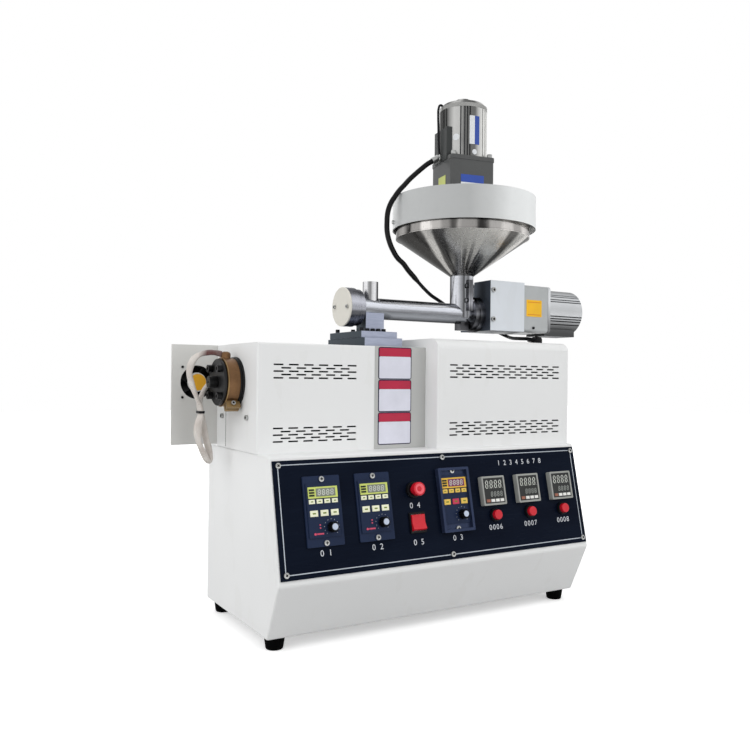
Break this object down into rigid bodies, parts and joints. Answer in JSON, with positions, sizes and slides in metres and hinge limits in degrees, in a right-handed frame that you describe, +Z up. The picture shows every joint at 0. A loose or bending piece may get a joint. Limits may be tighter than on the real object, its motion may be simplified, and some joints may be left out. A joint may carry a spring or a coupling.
{
  "type": "desktop filament extruder",
  "caption": "Desktop twin-screw filament extruder: cabinet with sloping control panel, covered barrel and drive, die head with band heater, and a screw feeder under a stirred hopper.",
  "frame": {"origin": "centre of the machine's outline on the ground under its feet", "axes": "+X along the machine from the die head to the feeder's motor, +Y from the control panel to the back, +Z up"},
  "size_m": [0.811, 0.3119, 0.921],
  "materials": {
    "white_coat": "satin",
    "navy_panel": "satin",
    "grey_coat": "satin",
    "rubber": "matt",
    "black_plastic": "matt",
    "controller_face": "matt",
    "red_plastic": "gloss",
    "yellow_plastic": "matt",
    "beige_plastic": "matt",
    "black_steel": "satin",
    "band_metal": "satin",
    "blue_steel": "satin",
    "turned_steel": "satin",
    "polished_steel": "mirror",
    "dark_steel": "satin",
    "grey_cast": "satin",
    "motor_aluminium": "satin",
    "white_sleeve": "matt"
  },
  "bodies": {
    "machine": {"cabinet": "white_coat", "feet": "rubber", "control_panel": "navy_panel", "speed_controllers": "controller_face", "temperature_controllers": "controller_face", "button_collars": "black_plastic", "stop_base": "black_plastic", "switch_bezel": "black_plastic", "heater_cover": "white_coat", "heater_cover_rear": "white_coat", "middle_cover": "grey_coat", "drive_cover": "white_coat", "fan_plate": "white_coat", "fan_frame": "black_plastic", "die_body": "black_steel", "heater_band": "band_metal", "die_flange": "black_steel", "die_screws": "black_steel", "die_nozzle": "black_steel", "lower_feed_plate": "blue_steel", "upper_feed_plate": "blue_steel", "support_block": "blue_steel", "feeder_barrel": "polished_steel", "end_housing": "turned_steel", "end_cap": "beige_plastic", "vent_pipe": "turned_steel", "feeder_flange": "turned_steel", "drive_bracket": "dark_steel", "coupling_cover": "white_coat", "feeder_gear_case": "grey_cast", "feeder_motor": "motor_aluminium", "feed_tube": "polished_steel", "tube_clamp": "turned_steel", "hopper_spigot": "polished_steel", "hopper": "polished_steel", "hopper_rim": "polished_steel", "hopper_lid": "white_coat", "stirrer_gear_case": "grey_cast", "stirrer_motor": "motor_aluminium", "terminal_box": "grey_cast", "conduit_gland": "turned_steel", "cable_fittings": "black_plastic", "stirrer_conduit": "rubber", "stirrer_cable": "rubber", "motor_lead": "rubber", "feeder_lead": "rubber", "heater_lead": "white_sleeve", "lead_tie": "black_plastic", "cable_gland": "black_plastic"},
    "speed_knob_1": {"speed_knob_1": "black_plastic"},
    "speed_knob_2": {"speed_knob_2": "black_plastic"},
    "speed_knob_3": {"speed_knob_3": "black_plastic"},
    "stop_button": {"stop_button": "red_plastic"},
    "power_rocker": {"power_rocker": "red_plastic"},
    "push_button_1": {"push_button_1": "red_plastic"},
    "push_button_2": {"push_button_2": "red_plastic"},
    "push_button_3": {"push_button_3": "red_plastic"},
    "fan_rotor": {"fan_rotor": "black_plastic"}
  },
  "joints": [
    {"name": "speed_knob_1_turn", "type": "hinge", "parent": "machine", "child": "speed_knob_1", "pos_m": [-0.239, -0.14111, 0.1819], "axis": [0, -0.9762, 0.2169], "range_deg": [-135, 135]},
    {"name": "speed_knob_2_turn", "type": "hinge", "parent": "machine", "child": "speed_knob_2", "pos_m": [-0.1515, -0.14111, 0.1819], "axis": [0, -0.9762, 0.2169], "range_deg": [-135, 135]},
    {"name": "speed_knob_3_turn", "type": "hinge", "parent": "machine", "child": "speed_knob_3", "pos_m": [-0.0005, -0.14111, 0.1819], "axis": [0, -0.9762, 0.2169], "range_deg": [-135, 135]},
    {"name": "stop_press", "type": "slide", "parent": "machine", "child": "stop_button", "axis": [0, 0.9762, -0.2169], "range_m": [0, 0.004], "stiffness_N_per_m": 500, "springref_m": -0.001},
    {"name": "power_rocker_tip", "type": "hinge", "parent": "machine", "child": "power_rocker", "pos_m": [-0.0865, -0.1387, 0.17522], "axis": [1, 0, 0], "range_deg": [0, 16]},
    {"name": "push_button_1_press", "type": "slide", "parent": "machine", "child": "push_button_1", "axis": [0, 0.9762, -0.2169], "range_m": [0, 0.003], "stiffness_N_per_m": 400, "springref_m": -0.001},
    {"name": "push_button_2_press", "type": "slide", "parent": "machine", "child": "push_button_2", "axis": [0, 0.9762, -0.2169], "range_m": [0, 0.003], "stiffness_N_per_m": 400, "springref_m": -0.001},
    {"name": "push_button_3_press", "type": "slide", "parent": "machine", "child": "push_button_3", "axis": [0, 0.9762, -0.2169], "range_m": [0, 0.003], "stiffness_N_per_m": 400, "springref_m": -0.001},
    {"name": "fan_spin", "type": "hinge", "parent": "machine", "child": "fan_rotor", "pos_m": [-0.3625, 0.119, 0.391], "axis": [0, 1, 0], "continuous": true}
  ]
}
